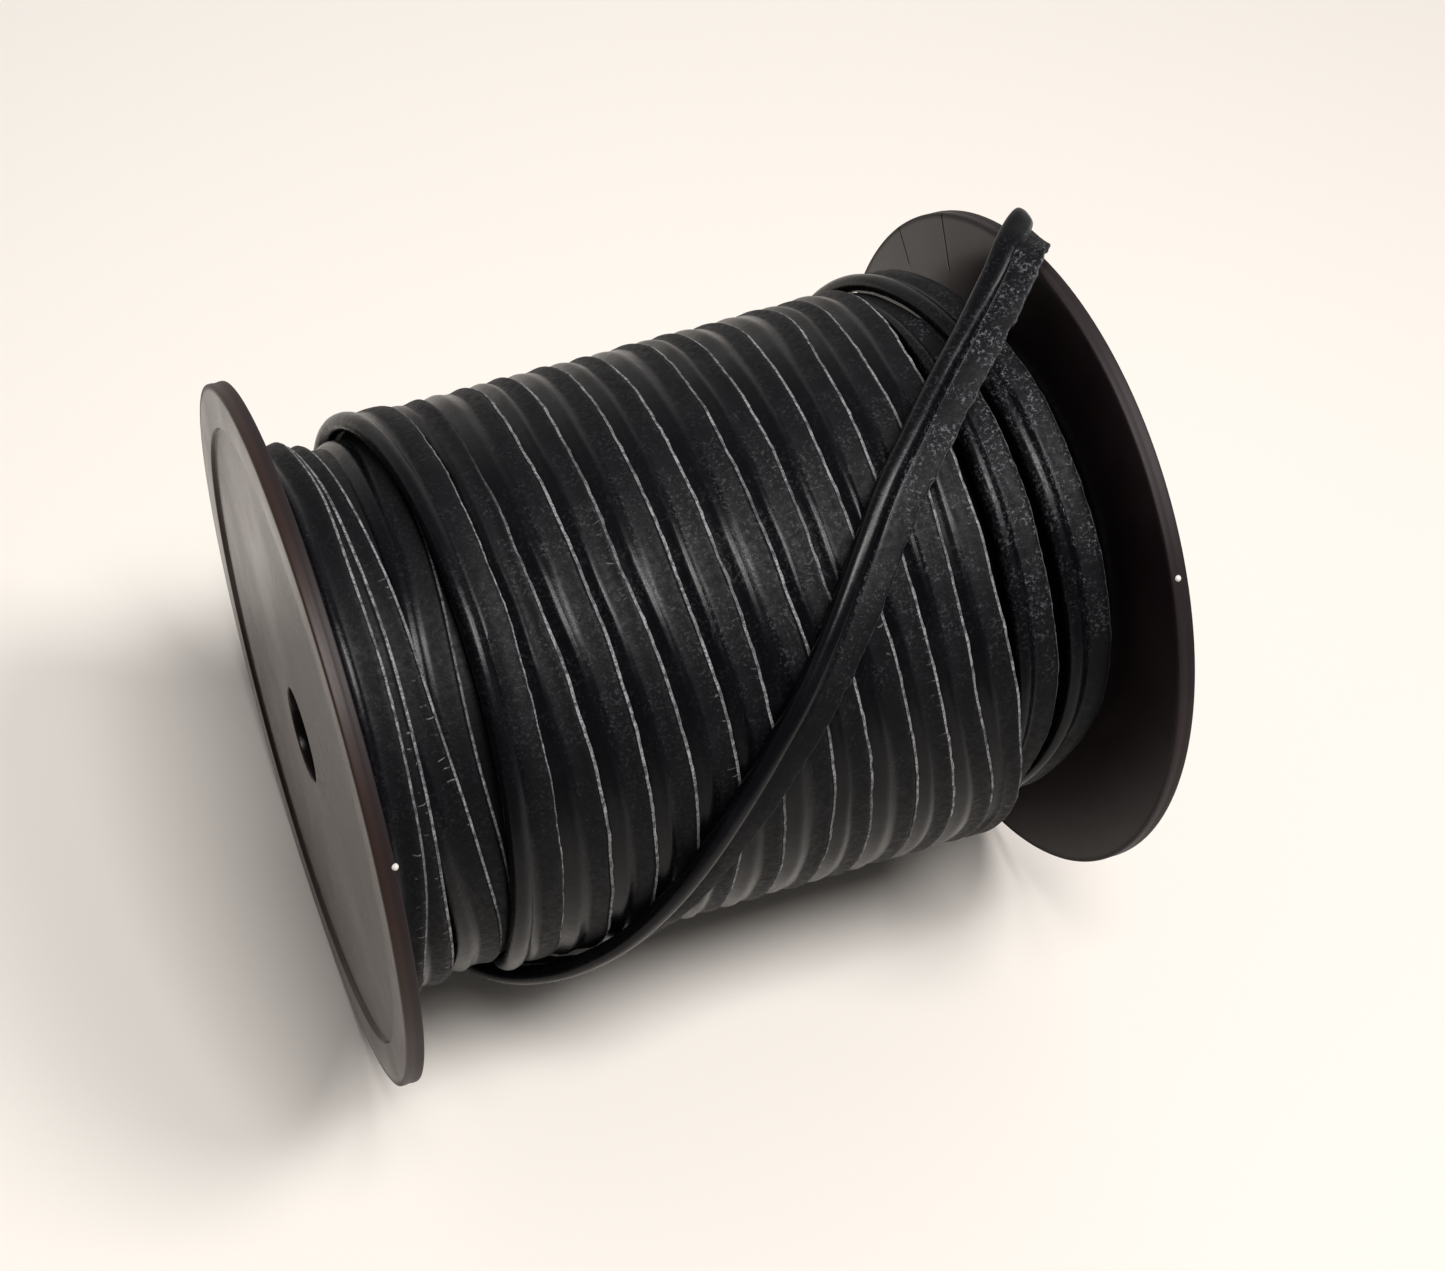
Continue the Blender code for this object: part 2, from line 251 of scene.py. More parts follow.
# ---------------------------------------------------------------- tail, as in the CAD
PIPING_WIDTH = 10.8
BEAD_RADIUS = 2.2
CHANNEL_RADIUS = 1.4
CHANNEL_DROP = 1.2  # how much deeper the channel's lower half is, clear of the filler cord
BEAD_CENTRE = -PIPING_WIDTH / 2 + BEAD_RADIUS
ON_BEAD = 9.0       # how far in from the raw edge the whole bead counts as being
TAIL_ROUTE = (
    (-62.3, -82.0, 64.3, 0), (-61.6, -71.5, 64.8, 0), (-59.8, -61.0, 66.2, 0),
    (-56.8, -51.5, 66.5, 0), (-52.6, -42.0, 66.5, 0), (-47.0, -32.5, 66.5, 0),
    (-40.4, -23.0, 66.6, 0), (-32.6, -11.5, 66.8, 0), (-24.8, 0.0, 67.0, 0), (-17.2, 10.5, 67.3, 0),
    (-9.4, 20.5, 67.6, 0), (-0.6, 30.5, 67.9, 0), (8.4, 40.0, 68.3, 0), (17.4, 50.0, 68.7, 0),
    (26.4, 60.0, 69.1, 0), (36.2, 70.0, 69.5, 0), (46.6, 78.5, 70.2, 0), (56.2, 86.0, 71.4, 0),
    (64.6, 91.8, 73.8, 0), (73.0, 97.3, 77.2, 0), (78.8, 100.8, 80.5, 0), (83.1, 103.7, 83.1, 0),
    (87.1, 106.4, 83.1, 24), (90.4, 109.0, 81.9, 58), (91.5, 111.2, 78.6, 80),
    (91.4, 113.0, 74.6, 88),
)
TAIL_STEP = 1.1
BEAD_SQUARENESS = 0.84  # 1 for a round bead, less for one pressed a little flat
# The leather beside the bead: across, up, and 1 for the flap or 2 for its raw edge.
FLAP_OUTLINE = (
    (-0.88, 0.06, 1), (-0.25, -0.16, 1), (0.7, -0.06, 1), (1.8, 0.02, 1), (2.9, 0.02, 1),
    (3.9, -0.02, 1), (4.7, -0.10, 1), (5.08, -0.16, 1), (5.24, -0.28, 2), (5.37, -0.55, 2),
    (5.40, -0.95, 2), (5.28, -1.42, 1), (4.6, -1.58, 1), (2.6, -1.60, 1), (0.6, -1.60, 1),
    (-0.9, -1.62, 1),
)
# The part of the flap that is uneven, and how: its edge in two sizes, and up and down.
UNEVEN_START, UNEVEN_SPAN = 0.5, 4.9
TAIL_EDGE_WAVES, TAIL_FLAP_WAVE = ((0.22, 7), (0.12, 2.6)), (0.30, 26)
# Over the rim the flap lifts a little, and towards its end the bead is pressed flat.
LIFT, LIFT_START, LIFT_EASE, LIFT_END, LIFT_END_EASE = 0.5, 34, 20, 14, 10
FLAT_START, FLAT_EASE, FLAT_LOWER, FLAT_WIDER = 52, 30, 0.32, 0.24
TAIL_SCUFFS = ((0, 0.0), (0.52, 0.05), (0.64, 0.4), (0.74, 1.4), (0.90, 1.6), (0.96, 1.0),
               (1, 0.4))    # share of the length, how scuffed
TAIL_BEAD_SHARE, TAIL_RAW = 0.12, 0.35


def wave(along, length, seed):
    """A smooth irregular line between about -1 and 1, with bumps of about that length."""
    draw = np.random.default_rng(seed)
    total = np.zeros_like(along, dtype=float)
    for _ in range(5):
        total += np.sin(along * 2 * math.pi / (length * draw.uniform(0.6, 1.7))
                        + draw.uniform(0, 2 * math.pi))
    return total / 3


def uneven(along, size, seed):
    """A wave of that size: how much, and how long its bumps are."""
    return size[0] * wave(along, size[1], seed)


def smooth_between(angles, knots, values, width):
    """Values at the angles, between the knots, rounded off over that many degrees."""
    line = np.interp(angles, knots, values)
    step = angles[1] - angles[0]
    reach = max(1, int(3 * width / step))
    weights = np.exp(-0.5 * (np.arange(-reach, reach + 1) * step / width) ** 2)
    padded = np.concatenate([2 * line[0] - line[reach:0:-1], line,
                             2 * line[-1] - line[-2:-reach - 2:-1]])
    return np.convolve(padded, weights / weights.sum(), "valid")


def radial(degrees):
    """The direction away from the axis at that angle round the reel."""
    angle = math.radians(degrees)
    return np.array([0.0, -math.cos(angle), math.sin(angle)])


def on_reel(across, degrees, distance):
    """Points in metres from millimetres along the axis, an angle and a distance from it."""
    angle = np.radians(degrees)
    return np.stack([across * MM, -distance * MM * np.cos(angle),
                     AXIS + distance * MM * np.sin(angle)], axis=-1)


class Body:
    """Collects vertices, faces and point values of one piece."""

    def __init__(self):
        self.points, self.faces, self.values, self.count = [], [], {}, 0

    def sweep(self, rings, closed, capped, **values):
        """Skins rings of points, shape (rings, points, 3), and keeps the values of each point."""
        many, around = rings.shape[:2]
        start = self.count
        self.points.append(rings.reshape(-1, 3))
        self.count += many * around
        ring, spot = np.meshgrid(np.arange(many if closed else many - 1), np.arange(around),
                                 indexing="ij")
        near = start + ring * around
        far = start + (ring + 1) % many * around
        after = (spot + 1) % around
        quads = np.stack([near + spot, near + after, far + after, far + spot], axis=-1)
        self.faces += quads.reshape(-1, 4).tolist()
        if capped:
            self.faces.append(list(range(start, start + around))[::-1])
            self.faces.append(list(range(self.count - around, self.count)))
        for name, value in values.items():
            self.values.setdefault(name, []).append(
                np.broadcast_to(value, (many, around)).reshape(-1))

    def piece(self, name, materials, angle):
        """The mesh object, outward facing, with its values as attributes."""
        mesh = bpy.data.meshes.new(name)
        mesh.from_pydata(np.concatenate(self.points).tolist(), [], self.faces)
        for key, parts in self.values.items():
            attribute = mesh.attributes.new(key, "FLOAT", "POINT")
            attribute.data.foreach_set("value", np.concatenate(parts).astype(np.float32))
        for material in materials:
            mesh.materials.append(material)
        return finished(name, mesh, angle)


def finished(name, mesh, angle):
    """An object of that mesh, with consistent normals and its sharp edges kept."""
    work = bmesh.new()
    work.from_mesh(mesh)
    bmesh.ops.recalc_face_normals(work, faces=work.faces)
    work.to_mesh(mesh)
    work.free()
    mesh.shade_smooth()
    mesh.set_sharp_from_angle(angle=math.radians(angle))
    obj = bpy.data.objects.new(name, mesh)
    ROOT.link(obj)
    return obj


# ---------------------------------------------------------------- materials
class Nodes:
    """Short calls for building one material's node tree."""

    def __init__(self, name, colour, roughness):
        self.material = bpy.data.materials.new(name)
        self.material.use_nodes = True
        self.tree = self.material.node_tree
        self.shader = self.tree.nodes["Principled BSDF"]
        self.shader.inputs["Base Color"].default_value = (*colour, 1.0)
        self.shader.inputs["Roughness"].default_value = roughness
        self.shader.inputs["Metallic"].default_value = 0.0
        self.place = self.add("ShaderNodeTexCoord").outputs["Object"]

    def add(self, kind, **settings):
        """A new node of that kind with those settings."""
        node = self.tree.nodes.new(kind)
        for key, value in settings.items():
            setattr(node, key, value)
        return node

    def join(self, source, target):
        """Links an output to an input."""
        self.tree.links.new(source, target)

    def put(self, socket, value):
        """Links a socket to an input, or sets the input to a number or colour."""
        if isinstance(value, bpy.types.NodeSocket):
            self.join(value, socket)
        elif isinstance(value, (tuple, list)) and len(value) == 3 and socket.type == "RGBA":
            socket.default_value = (*value, 1.0)
        else:
            socket.default_value = value

    def value(self, name):
        """A point value of the mesh."""
        return self.add("ShaderNodeAttribute", attribute_name=name).outputs["Fac"]

    def noise(self, scale, detail=3.0, rough=0.55):
        """Cloudy noise, where scale is bumps per metre."""
        node = self.add("ShaderNodeTexNoise")
        self.join(self.place, node.inputs["Vector"])
        self.put(node.inputs["Scale"], scale)
        self.put(node.inputs["Detail"], detail)
        self.put(node.inputs["Roughness"], rough)
        return node.outputs["Fac"]

    def cells(self, scale):
        """Distance from the middle of each of the grain's cells."""
        node = self.add("ShaderNodeTexVoronoi", feature="F1")
        self.join(self.place, node.inputs["Vector"])
        self.put(node.inputs["Scale"], scale)
        return node.outputs["Distance"]

    def fit(self, value, low, high, to_low=0.0, to_high=1.0, smooth=True):
        """The value mapped from low..high to to_low..to_high, and held beyond."""
        node = self.add("ShaderNodeMapRange",
                        interpolation_type="SMOOTHSTEP" if smooth else "LINEAR")
        self.put(node.inputs["Value"], value)
        for key, number in (("From Min", low), ("From Max", high), ("To Min", to_low),
                            ("To Max", to_high)):
            self.put(node.inputs[key], number)
        return node.outputs["Result"]

    def math(self, operation, first, second=0.0):
        """One arithmetic step."""
        node = self.add("ShaderNodeMath", operation=operation)
        self.put(node.inputs[0], first)
        self.put(node.inputs[1], second)
        return node.outputs[0]

    def mix(self, factor, first, second):
        """A colour between two."""
        node = self.add("ShaderNodeMix", data_type="RGBA")
        self.put(node.inputs[0], factor)
        self.put(node.inputs[6], first)
        self.put(node.inputs[7], second)
        return node.outputs[2]

    def blend(self, factor, first, second):
        """A number between two."""
        node = self.add("ShaderNodeMix", data_type="FLOAT")
        self.put(node.inputs[0], factor)
        self.put(node.inputs[2], first)
        self.put(node.inputs[3], second)
        return node.outputs[0]

    def bump(self, height, distance, strength, after=None):
        """A bumped normal, where distance is the height in metres, on top of another one."""
        node = self.add("ShaderNodeBump")
        self.put(node.inputs["Height"], height)
        self.put(node.inputs["Distance"], distance)
        self.put(node.inputs["Strength"], strength)
        if after is not None:
            self.join(after, node.inputs["Normal"])
        return node.outputs["Normal"]

    def finish(self, colour, roughness, normal):
        """Links what is given to the shader and returns the material."""
        for key, value in (("Base Color", colour), ("Roughness", roughness),
                           ("Normal", normal)):
            if value is not None:
                self.join(value, self.shader.inputs[key])
        return self.material


# Linear colours.
LEATHER = (0.0042, 0.0044, 0.0062)
LEATHER_WORN = (0.0110, 0.0112, 0.0135)
RAW_LEATHER = (0.350, 0.352, 0.358)
RAW_DARK = (0.075, 0.076, 0.080)
# Pale specks: scuffs, and on the wound turns partly a painted sheen.
SCUFF_AND_SHEEN = (0.135, 0.138, 0.148)
PLASTIC, PLASTIC_WORN = (0.0180, 0.0108, 0.0124), (0.0260, 0.0160, 0.0176)
PLASTIC_SPECK = (0.08, 0.07, 0.065)
PLASTIC_MARK = (0.003, 0.002, 0.002)
# Warm tint of the left outer face: a painted reflection of the floor.
LEFT_FACE_REFLECTION_TINT = (0.034, 0.0155, 0.0100)
# The rim stubs' pale colours are a painted glint.
PIP_GLINT, PIP_GLINT_DARK, PIP_GLINT_PALE = (0.80, 0.76, 0.72), (0.62, 0.57, 0.53), (0.86, 0.83, 0.80)
CORD, CORD_DARK, CORD_PALE = (0.30, 0.28, 0.24), (0.16, 0.15, 0.13), (0.42, 0.39, 0.34)
# The paper's pale and dark shades are a painted light falloff across the floor.
PAPER, PAPER_PAINTED_LIT, PAPER_PAINTED_SHADE = (0.86, 0.82, 0.77), (0.93, 0.885, 0.835), (0.79, 0.748, 0.706)
LEATHER_SPECULAR, PLASTIC_SPECULAR, PLASTIC_ROUGHNESS = 0.27, 0.46, 0.30
TICK_PITCH, TICK_WANDER = 2.8, 7.0      # millimetres
RING_PITCH, RING_WANDER = 0.0016, 0.0006    # metres


def leather_material():
    """Black grained leather: a pale cut edge, tool ticks, and specks of scuffs and painted sheen.

    The mesh says how far round the strip and how far from its raw edge each point is, in
    millimetres, and from 0 to 1 how raw, how ticked, and how scuffed or painted with sheen.
    """
    n = Nodes("piping_leather", LEATHER, 0.46)
    n.shader.inputs["Specular IOR Level"].default_value = LEATHER_SPECULAR
    along, inwards = n.value("along"), n.value("inwards")
    raw, ticked, scuffed = n.value("raw"), n.value("ticked"), n.value("scuffed")

    # Black hide: fine pores, rubbed lighter in patches.
    grain = n.cells(1500.0)
    pores = n.noise(2600.0, 2.0)
    patches = n.noise(55.0, 3.0)
    lumps = n.noise(260.0, 2.0)

    rubbed = n.fit(patches, 0.50, 0.72)
    colour = n.mix(n.math("MULTIPLY", rubbed, n.fit(pores, 0.35, 0.65)), LEATHER, LEATHER_WORN)

    # Pale specks where the finish is scuffed off and, where they gather round the highlight, a
    # painted sheen.
    specks = n.math("MULTIPLY", n.fit(n.noise(1250.0, 4.0, 0.75), 0.51, 0.63),
                    n.fit(n.noise(170.0, 2.0), 0.34, 0.60))
    specks = n.math("MULTIPLY", specks, scuffed)
    colour = n.mix(specks, colour, SCUFF_AND_SHEEN)

    # Short tool ticks across the flap, from its raw edge inwards.
    wander = n.math("MULTIPLY", n.noise(120.0, 2.0), TICK_WANDER)
    beat = n.math("FRACT", n.math("DIVIDE", n.math("ADD", along, wander), TICK_PITCH))
    tick = n.math("MULTIPLY", n.fit(beat, 0.02, 0.07), n.fit(beat, 0.14, 0.20, 1.0, 0.0))
    reach = n.fit(n.noise(240.0, 1.0), 0.35, 0.65, 1.2, 2.8)
    tick = n.math("MULTIPLY", tick, n.fit(n.math("SUBTRACT", inwards, reach), -0.3, 0.2, 1.0, 0.0))
    tick = n.math("MULTIPLY", n.math("MULTIPLY", tick, ticked), n.fit(inwards, 0.6, 0.8))
    tick = n.math("MULTIPLY", tick, n.fit(n.noise(330.0, 2.0), 0.46, 0.66))
    colour = n.mix(n.math("MULTIPLY", tick, 0.30), colour, RAW_LEATHER)

    # The raw edge: pale fibre, broken by dark gaps.
    fibre = n.noise(1900.0, 3.0, 0.7)
    broken = n.math("MULTIPLY", n.fit(n.noise(520.0, 3.0, 0.7), 0.36, 0.54),
                    n.fit(n.noise(75.0, 2.0), 0.36, 0.56, 0.45, 1.0))
    raw_colour = n.mix(n.math("MULTIPLY", broken, n.fit(fibre, 0.3, 0.62)), RAW_DARK,
                       RAW_LEATHER)
    colour = n.mix(raw, colour, raw_colour)

    # The bead is smoother and glossier than the flap.
    smoother = n.fit(inwards, 4.6, 5.8)
    roughness = n.blend(smoother, n.fit(n.noise(700.0, 3.0), 0.3, 0.7, 0.50, 0.70, False),
                        n.fit(n.noise(500.0, 2.0), 0.3, 0.7, 0.26, 0.31, False))
    roughness = n.math("ADD", roughness, n.math("MULTIPLY", specks, 0.25))
    roughness = n.blend(raw, roughness, 0.9)

    height = n.math("ADD", n.math("MULTIPLY", n.fit(grain, 0.0, 0.7), 0.6),
                    n.math("MULTIPLY", pores, 0.4))
    height = n.math("MULTIPLY", height, n.fit(smoother, 0.0, 1.0, 1.0, 0.15, False))
    lumps = n.math("MULTIPLY", lumps, n.fit(smoother, 0.0, 1.0, 1.0, 0.55, False))
    normal = n.bump(height, 0.00006, 0.55)
    normal = n.bump(lumps, 0.00035, 0.35, normal)
    normal = n.bump(n.math("MULTIPLY", tick, -1.0), 0.00012, 0.8, normal)
    normal = n.bump(n.math("ADD", specks, n.math("MULTIPLY", raw, fibre)), 0.00010, 0.6, normal)
    return n.finish(colour, roughness, normal)


def plastic_material(name, colour, worn, roughness):
    """Satin moulded plastic: a fine texture, faint turning marks, rubbed patches, matt rims."""
    n = Nodes(name, colour, roughness)
    n.shader.inputs["Specular IOR Level"].default_value = PLASTIC_SPECULAR
    fine = n.noise(1800.0, 2.0)
    cloud = n.noise(28.0, 4.0)
    split = n.add("ShaderNodeSeparateXYZ")
    n.join(n.place, split.inputs[0])
    across, deep = split.outputs["X"], split.outputs["Y"]
    up = n.math("SUBTRACT", split.outputs["Z"], AXIS)
    radius = n.math("SQRT", n.math("ADD", n.math("MULTIPLY", deep, deep),
                                   n.math("MULTIPLY", up, up)))
    wander = n.math("MULTIPLY", n.noise(40.0, 2.0), RING_WANDER)
    rings = n.math("SINE", n.math("MULTIPLY", n.math("ADD", radius, wander),
                                  2 * math.pi / RING_PITCH))
    tint = n.mix(n.fit(cloud, 0.42, 0.72), colour, worn)
    specks = n.fit(n.noise(900.0, 2.0), 0.70, 0.76)
    tint = n.mix(n.math("MULTIPLY", specks, 0.20), tint, PLASTIC_SPECK)
    # Rims are duller than the faces, and the left outer face is glossier and tinted warmer as a
    # painted reflection of the warm floor.
    rough = n.math("ADD", n.fit(cloud, 0.3, 0.7, roughness - 0.05, roughness + 0.07, False),
                   n.math("MULTIPLY", fine, 0.06))
    rough = n.math("ADD", rough, n.fit(radius, 0.0784, 0.0796, 0.0, 0.24))
    left_face = (-REEL_WIDTH / 2 * MM, -INNER_FACE * MM)
    rough = n.math("ADD", rough, n.fit(across, *left_face, -0.09, 0.0))
    # The marks show on the right flange's inner face only.
    inside = n.fit(n.math("ABSOLUTE", n.math("SUBTRACT", across, INNER_FACE * MM)),
                   0.0002, 0.0006, 1.0, 0.0)
    marks = 0.0
    for degrees, start in MARKS:
        _, back, rise = radial(degrees)
        sideways = n.math("ADD", n.math("MULTIPLY", deep, rise), n.math("MULTIPLY", up, -back))
        outwards = n.math("ADD", n.math("MULTIPLY", deep, back), n.math("MULTIPLY", up, rise))
        line = n.math("MULTIPLY", n.fit(n.math("ABSOLUTE", sideways), 0.0001, 0.0005, 1.0, 0.0),
                      n.fit(outwards, start * MM, (start + 3) * MM))
        marks = n.math("ADD", line, marks)
    marks = n.math("MULTIPLY", marks, inside)
    # The warm tint on the left outer face is a painted reflection of the warm floor.
    tint = n.mix(n.fit(across, *left_face, 0.8, 0.0), tint, LEFT_FACE_REFLECTION_TINT)
    tint = n.mix(n.math("MULTIPLY", marks, 0.8), tint, PLASTIC_MARK)
    rough = n.math("ADD", rough, n.math("MULTIPLY", marks, 0.2))
    normal = n.bump(fine, 0.00002, 0.6)
    normal = n.bump(rings, 0.000004, 0.5, normal)
    normal = n.bump(marks, 0.00030, 0.8, normal)
    return n.finish(tint, rough, normal)


def pip_glint_material():
    """The stub left by a moulding gate, its pale colour a painted glint."""
    n = Nodes("moulding_pip_painted_glint", PIP_GLINT, 0.5)
    colour = n.mix(n.fit(n.noise(1500.0, 2.0), 0.35, 0.65), PIP_GLINT_DARK, PIP_GLINT_PALE)
    return n.finish(colour, None, n.bump(n.noise(1800.0, 2.0), 0.00005, 0.5))


def filler_material():
    """Undyed twisted cord."""
    n = Nodes("filler_cord", CORD, 0.85)
    strands = n.add("ShaderNodeTexWave", bands_direction="DIAGONAL")
    n.join(n.place, strands.inputs["Vector"])
    n.put(strands.inputs["Scale"], 260.0)
    n.put(strands.inputs["Distortion"], 2.0)
    colour = n.mix(strands.outputs["Fac"], CORD_DARK, CORD_PALE)
    return n.finish(colour, None, n.bump(strands.outputs["Fac"], 0.0002, 0.7))


def floor_material():
    """Matt off-white paper with a painted light falloff: a little darker towards the front right.
    """
    n = Nodes("backdrop", PAPER, 0.75)
    split = n.add("ShaderNodeSeparateXYZ")
    n.join(n.place, split.inputs[0])
    # A painted light falloff: lighter at the back left, darker at the front right.
    corner = n.math("SUBTRACT", split.outputs["X"], split.outputs["Y"])
    corner = n.math("ADD", corner, n.math("MULTIPLY", n.noise(3.0, 2.0), 0.1))
    colour = n.mix(n.fit(corner, -0.45, 0.55), PAPER_PAINTED_LIT, PAPER_PAINTED_SHADE)
    return n.finish(colour, None, n.bump(n.noise(900.0, 3.0), 0.00005, 0.2))


# ---------------------------------------------------------------- winding
def section_lines(kind):
    """The section's points as arrays: 1 at the right edge's points, across and up."""
    return (np.array([1.0 if side == "R" else 0.0 for side, _, _ in kind]),
            np.array([across for _, across, _ in kind]), np.array([up for _, _, up in kind]))


def wound_rings(angles, left, right, top, open_share, along, seed):
    """Rings of a wound strip, and each point's distance in from its raw edge."""
    at_right, covered_across, covered_up = section_lines(SECTION_COVERED)
    _, open_across, open_up = section_lines(SECTION_OPEN)
    share = open_share[:, None]
    across = covered_across * (1 - share) + open_across * share
    up = covered_up * (1 - share) + open_up * share
    stretch = ((right - left) / USUAL_WIDTH)[:, None]
    near_edge = (at_right == 1) & (covered_across > -1.0)
    across = np.where(near_edge, across, across * np.clip(stretch, *WIDTH_RANGE))
    bead, flap, ragged = (np.zeros(len(at_right)) for _ in range(3))
    bead[BEAD_POINTS] = BEAD_SHARES
    flap[FLAP_POINTS] = FLAP_SHARES
    ragged[RAGGED_POINTS] = RAGGED_SHARES
    up = up + bead * uneven(along, BEAD_WAVE, seed)[:, None]
    up = up + flap * uneven(along, FLAP_WAVE, seed + 1)[:, None]
    across = across + ragged * (uneven(along, RAGGED_WAVES[0], seed + 2)
                                + uneven(along, RAGGED_WAVES[1], seed + 3))[:, None]
    edge = left[:, None] * (1 - at_right) + right[:, None] * at_right
    place = np.clip(edge + across, FLANGE_GAP - INNER_FACE, INNER_FACE - FLANGE_GAP)
    rings = on_reel(place, angles[:, None], top[:, None] - FLAP_OVER_BEAD + up)
    return rings + WINDING_SHIFT, right[:, None] - place


def top_layer():
    """The top layer as one strip, wound from the right flange to the raised last turn."""
    knots, edges = [-90.0], [FIRST_EDGE]
    for turn, row in enumerate(RAW_EDGES):
        knots += [360.0 * turn + a for a in TURN_ANGLES]
        edges += list(row)
    knots += [360.0 * (TURNS - 1) + a for a, _ in LAST_EDGES]
    edges += [edge for _, edge in LAST_EDGES]
    last = 360.0 * (TURNS - 1) + 270
    angles = np.linspace(-90.0, last, int((last + 90) / RING_STEP) + 1)
    along = np.radians(angles) * TOP_MEAN
    right = smooth_between(angles, knots, edges, EDGE_ROUNDING)
    right = right + uneven(along, EDGE_WAVE, seed=5)

    turn_of = np.floor((angles + 90) / 360).astype(int).clip(0, TURNS - 1)
    left = np.interp(angles + 360, angles, right)
    top = np.interp(right - ENVELOPE_INSET, *zip(*ENVELOPE)) + uneven(along, TOP_WAVE, seed=6)
    free = np.zeros(len(angles))
    for turn, rows in LOOSE_TURNS.items():
        here = turn_of == turn
        knots_here = [360.0 * turn + a for a, _, _ in rows]
        own_left = smooth_between(angles, knots_here, [x for _, x, _ in rows], LEFT_ROUNDING)
        own_top = smooth_between(angles, knots_here, [r for _, _, r in rows], TOP_ROUNDING)
        left[here] = own_left[here]
        top[here] = own_top[here]
        free[here] = 1.0
    soften = np.exp(-0.5 * (np.arange(-EASE_REACH, EASE_REACH + 1) / EASE_WIDTH) ** 2)
    soften /= soften.sum()

    def eased(line):
        """The line without its jumps between turns."""
        return np.convolve(np.pad(line, EASE_REACH, mode="edge"), soften, "valid")

    free, top = eased(free), eased(top)
    left = np.where(free > FREE_FROM, eased(left), left)
    rings, inwards = wound_rings(angles, left, right, top, free, along, seed=11)

    local = angles - 360.0 * turn_of
    raw = np.full(len(angles), RAW_SHOWN)
    # Pale specks in a band round the angle where the lamps' highlight falls: partly scuffs, partly
    # painted sheen.
    least, most, middle, spread = SCUFF_AND_SHEEN_BAND
    rightwards = np.clip((right + WOUND_HALF) / (2 * WOUND_HALF), 0, 1)
    scuffed = least + most * np.exp(-((local - middle) / spread) ** 2) * (
        SCUFF_SHEEN_LEFT_SHARE + (1 - SCUFF_SHEEN_LEFT_SHARE) * rightwards)
    ticked = np.zeros(len(angles))
    for turn, start, end in TICKED:
        ticked[(turn_of == turn) & (local > start) & (local < end)] = 1.0
    for turn, start, end, amount in DULL_EDGES:
        raw[(turn_of == turn) & (local > start) & (local < end)] *= amount
    loose = turn_of <= 1
    most, middle, spread = LOOSE_SCUFF_AND_SHEEN
    scuffed[loose] = most * np.exp(-((local[loose] - middle) / spread) ** 2)
    raw = eased(raw)
    points = rings.shape[1]
    is_raw, flap_only = np.zeros(points), np.zeros(points)
    is_raw[RAW_POINTS] = 1.0
    flap_only[SCUFF_SHEEN_POINTS] = 1.0
    body = Body()
    body.sweep(rings, False, True, along=along[:, None], inwards=inwards,
               raw=raw[:, None] * is_raw, ticked=ticked[:, None] * np.ones(points),
               scuffed=scuffed[:, None] * (BEAD_SCUFF_SHEEN_SHARE
                                           + (1 - BEAD_SCUFF_SHEEN_SHARE) * flap_only))
    return body


def lower_layers():
    """What shows of the lower layers: a core, the turns at the left and the right-hand ends."""
    body = Body()
    outline = LOWER_PROFILE + ((LOWER_PROFILE[-1][0], LOWER_BORE),
                               (LOWER_PROFILE[0][0], LOWER_BORE))
    dense = []
    for (x0, r0), (x1, r1) in zip(outline, outline[1:] + outline[:1]):
        pieces = max(1, int(math.hypot(x1 - x0, r1 - r0) / CORE_STEP))
        dense += [(x0 + (x1 - x0) * k / pieces, r0 + (r1 - r0) * k / pieces)
                  for k in range(pieces)]
    angles = np.arange(0, 360, 360 / TURNED_STEPS)
    across = np.array([x for x, _ in dense])
    distance = np.array([r for _, r in dense])
    zero = np.zeros((len(angles), len(dense)))
    rings = on_reel(across + zero, angles[:, None] + zero, distance + zero) + WINDING_SHIFT
    body.sweep(rings, True, False, along=0.0, inwards=5.0, raw=0.0, ticked=0.0, scuffed=0.0)

    def ring_turn(top, rows, seed, ticks, width):
        """One closed turn whose raw edge follows the rows."""
        steps = int(360 / RING_STEP)
        angles = np.linspace(-90, 270, steps, endpoint=False)
        wide = np.linspace(-450, 630, 3 * steps, endpoint=False)
        knots = [a + shift for shift in (-360, 0, 360) for a, _ in rows]
        values = [x for _ in range(3) for _, x in rows]
        right = smooth_between(wide, knots, values, LOWER_ROUNDING)[steps:2 * steps]
        along = np.radians(angles) * LOWER_MEAN
        right = right + LOWER_WOBBLE * np.sin(np.radians(angles) * 9 + seed)
        top = top + LOWER_WOBBLE * np.sin(np.radians(angles) * 3 + seed)
        left = right - width
        share = np.full(len(angles), OPEN_SHARE_BELOW)
        rings, inwards = wound_rings(angles, left, right, top, share, along * 0 + 40 * seed,
                                     31 + seed)
        points = rings.shape[1]
        is_raw = np.zeros(points)
        is_raw[RAW_POINTS] = RAW_SHOWN
        ticked = np.zeros(len(angles))
        if ticks:
            ticked[(angles > ticks[0]) & (angles < ticks[1])] = LOWER_TICK_STRENGTH
        body.sweep(rings, True, False, along=along[:, None], inwards=inwards,
                   raw=is_raw[None, :] * np.ones((len(angles), 1)),
                   ticked=ticked[:, None] * np.ones(points), scuffed=LOWER_SCUFFS)

    for i, (top, rows) in enumerate(LOWER_TURNS):
        ring_turn(top, rows, i + 1, LOWER_TICKS.get(i), LOWER_WIDTHS[i])
    for i, (top, edge) in enumerate(LOWER_END_TURNS):
        ring_turn(top, ((-60, edge), (60, edge - 0.4), (160, edge)), i + 7, None,
                  LOWER_END_WIDTH)
    return body


